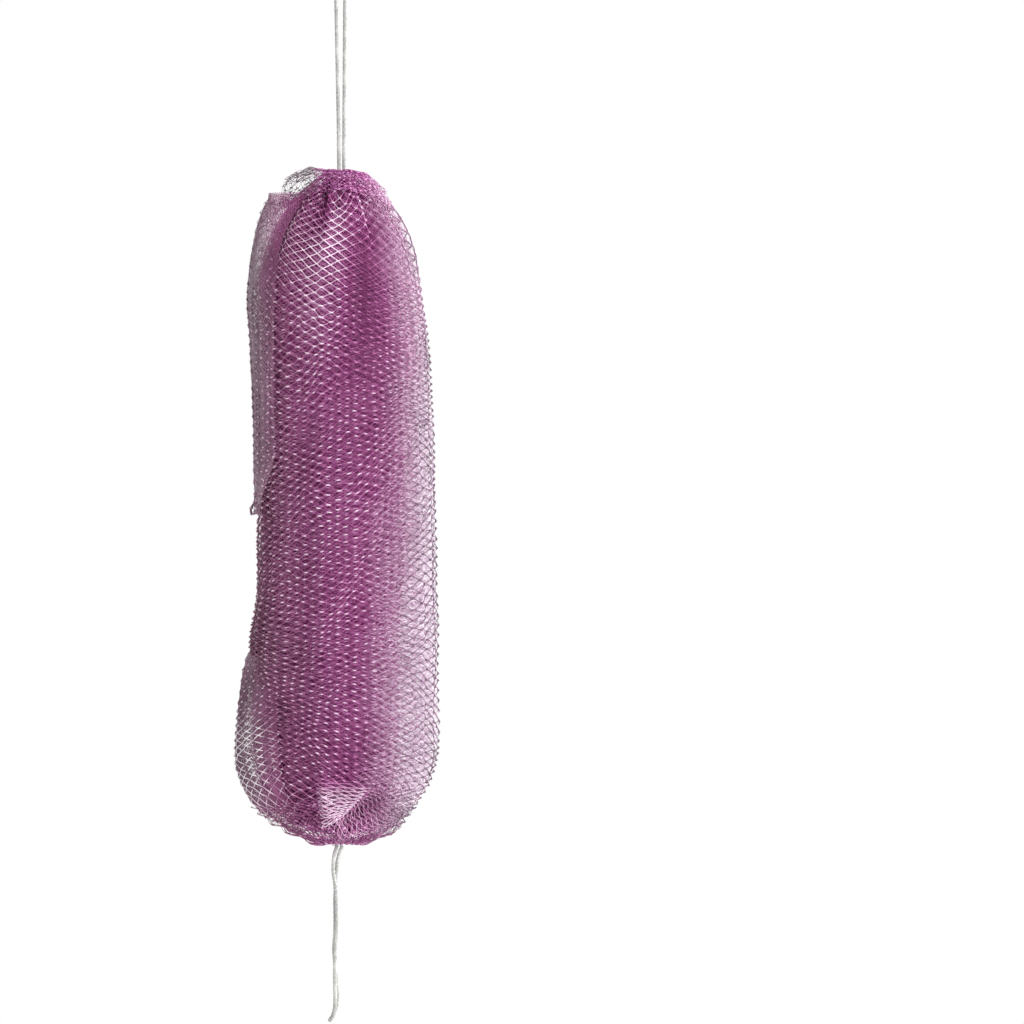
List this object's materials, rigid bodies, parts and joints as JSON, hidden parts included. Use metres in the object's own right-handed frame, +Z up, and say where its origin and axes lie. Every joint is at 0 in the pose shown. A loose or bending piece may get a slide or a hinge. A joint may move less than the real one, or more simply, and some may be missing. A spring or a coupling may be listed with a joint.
{
  "type": "mesh back scrubber",
  "caption": "Long gathered net body scrubber with a cord hand loop at each end, hanging from its top loop.",
  "frame": {"origin": "the hang point: the inside of the top loop's bight, where a hook carries the scrubber", "axes": "+Z up along the hanging body, +X to the right seen from the front, +Y to the back"},
  "size_m": [0.1044, 0.066, 0.549],
  "materials": {
    "nylon_cord": "white braided nylon, slight sheen",
    "lashing_twine": "thin pale twine",
    "core_net": "deep magenta netting, many layers",
    "sleeve_net": "magenta netting, satin filament",
    "outer_net": "orchid netting, glossy filament",
    "sheer_net": "sheer grey-mauve netting"
  },
  "bodies": {
    "top_loop": {"top_hand_loop": "nylon_cord"},
    "scrubber": {"top_stopper_knot": "nylon_cord", "top_lashing": "lashing_twine", "top_ruffle": "outer_net", "core_cord": "nylon_cord", "net_core_roll": "core_net", "inner_net_sleeve": "core_net", "middle_net_sleeve": "sleeve_net", "outer_net_sleeve": "outer_net", "upper_left_fold": "sheer_net", "lower_left_fold": "sheer_net", "bottom_ruffle": "outer_net", "bottom_lashing": "lashing_twine", "bottom_stopper_knot": "nylon_cord"},
    "bottom_loop": {"bottom_hand_loop": "nylon_cord"}
  },
  "joints": [
    {"name": "top_loop_bend", "type": "hinge", "parent": "top_loop", "child": "scrubber", "pos_m": [0.0005, 0, -0.1065], "axis": [1, 0, 0], "range_deg": [-80, 80]},
    {"name": "bottom_loop_bend", "type": "hinge", "parent": "scrubber", "child": "bottom_loop", "pos_m": [-0.0008, 0, -0.457], "axis": [1, 0, 0], "range_deg": [-80, 80]}
  ]
}
